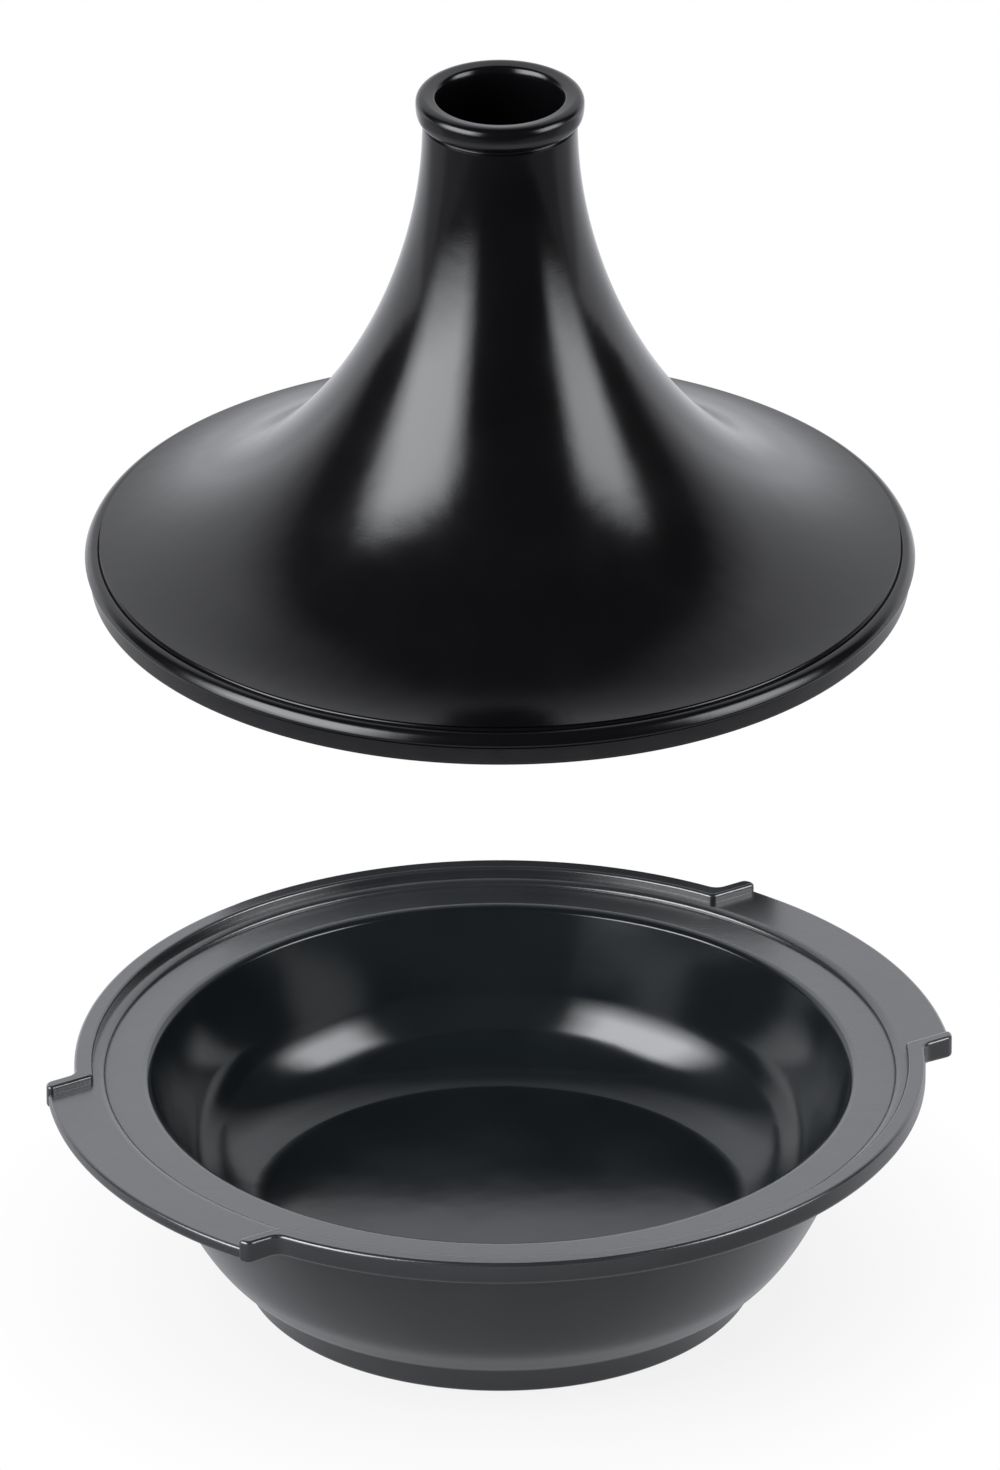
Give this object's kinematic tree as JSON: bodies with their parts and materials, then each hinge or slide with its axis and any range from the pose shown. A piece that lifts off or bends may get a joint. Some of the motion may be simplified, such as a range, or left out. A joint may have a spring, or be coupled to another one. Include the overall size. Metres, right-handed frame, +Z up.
{
  "type": "tagine",
  "caption": "Glazed ceramic tagine: round dish with a turned foot, seat rim and flat handle tabs, and a tall bell-shaped lid that lifts off.",
  "frame": {"origin": "on the table, under the middle of the dish", "axes": "+Z up along the axis of dish and lid, X through the middle of both handle tabs, Y across them"},
  "size_m": [0.325, 0.3036, 0.4681],
  "materials": {
    "dish_glaze": "satin slate-grey glaze, darker and glossier inside",
    "lid_glaze": "satin black glaze"
  },
  "bodies": {
    "dish": {"dish": "dish_glaze"},
    "lid": {"lid": "lid_glaze"}
  },
  "joints": [
    {"name": "lid_lift", "type": "slide", "parent": "dish", "child": "lid", "axis": [0, 0, 1], "range_m": [-0.197, 0.06]}
  ]
}
